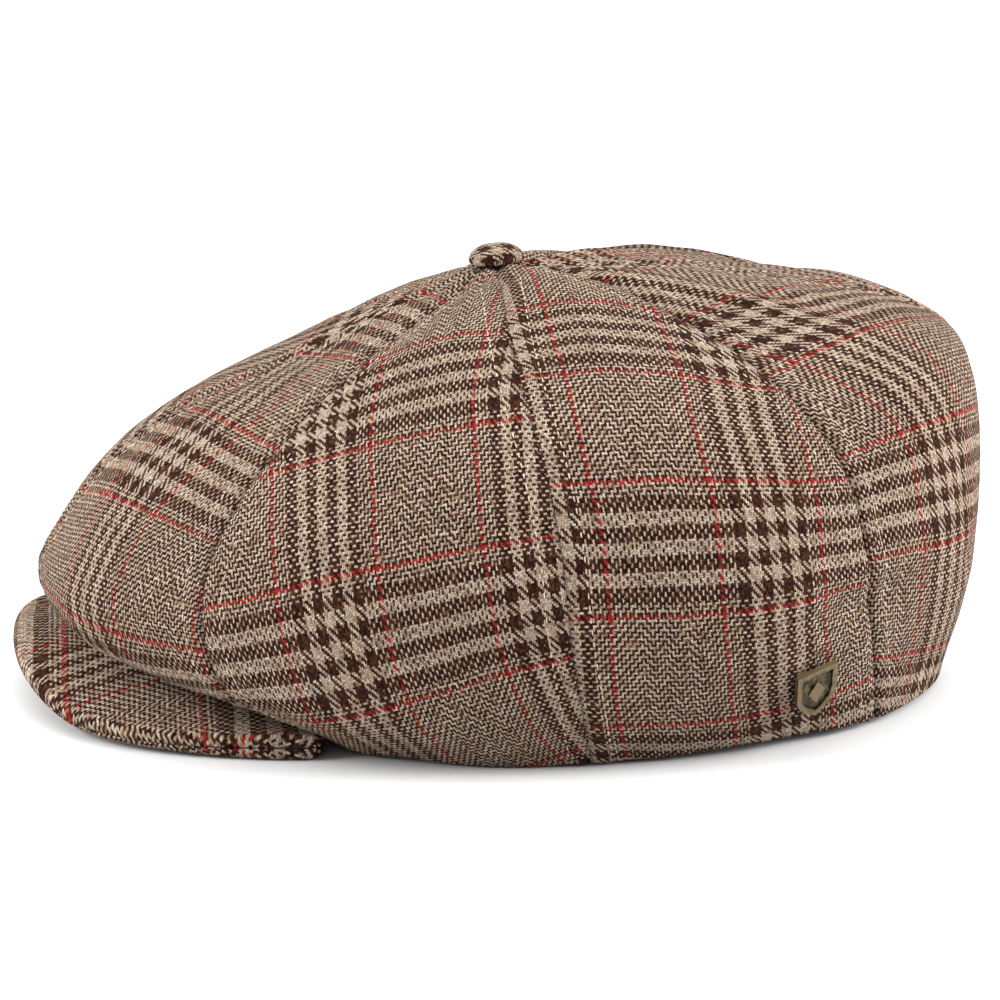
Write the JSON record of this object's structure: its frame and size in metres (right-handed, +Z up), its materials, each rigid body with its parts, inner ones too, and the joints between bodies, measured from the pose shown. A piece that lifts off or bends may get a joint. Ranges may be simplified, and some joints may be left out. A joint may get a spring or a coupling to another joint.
{
  "type": "newsboy cap",
  "caption": "Soft panelled newsboy cap in checked tweed with a covered top button, a short stiff peak, a lining, a sweatband and a small metal badge.",
  "frame": {"origin": "middle of the whole cap's footprint, on the surface that the cap stands on", "axes": "+Z up, the peak points to -Y, the wearer's left is +X"},
  "size_m": [0.2006, 0.2686, 0.1222],
  "materials": {
    "tweed": "woven wool check, matt, slightly fuzzy",
    "tweed_peak": "woven wool check, matt, slightly fuzzy",
    "satin": "smooth lining satin",
    "band": "ribbed cotton",
    "elastic": "ribbed elastic",
    "board": "matt moulded sheet",
    "steel": "plated steel, dull",
    "brass": "antiqued brass",
    "label": "woven ribbon, blank"
  },
  "bodies": {
    "crown": {"panel_front_left": "tweed", "panel_side_front_left": "tweed", "panel_side_rear_left": "tweed", "panel_rear_left": "tweed", "panel_rear_right": "tweed", "panel_side_rear_right": "tweed", "panel_side_front_right": "tweed", "panel_front_right": "tweed", "lining_front_left": "satin", "lining_rear_left": "satin", "lining_rear_right": "satin", "lining_front_right": "satin", "button_cover": "tweed", "sweatband": "band", "elastic_back": "elastic", "inner_label": "label", "button_core": "steel", "button_back": "steel", "snap_cap": "steel", "snap_socket": "steel", "badge_back": "steel", "badge_plate": "brass"},
    "peak": {"peak_top_cover": "tweed_peak", "peak_board": "board", "peak_under_cover": "tweed_peak", "snap_stud": "steel"}
  },
  "joints": [
    {"name": "peak_hinge", "type": "hinge", "parent": "crown", "child": "peak", "pos_m": [0, -0.0497, 0.0045], "axis": [1, 0, 0], "range_deg": [0, 12]}
  ]
}
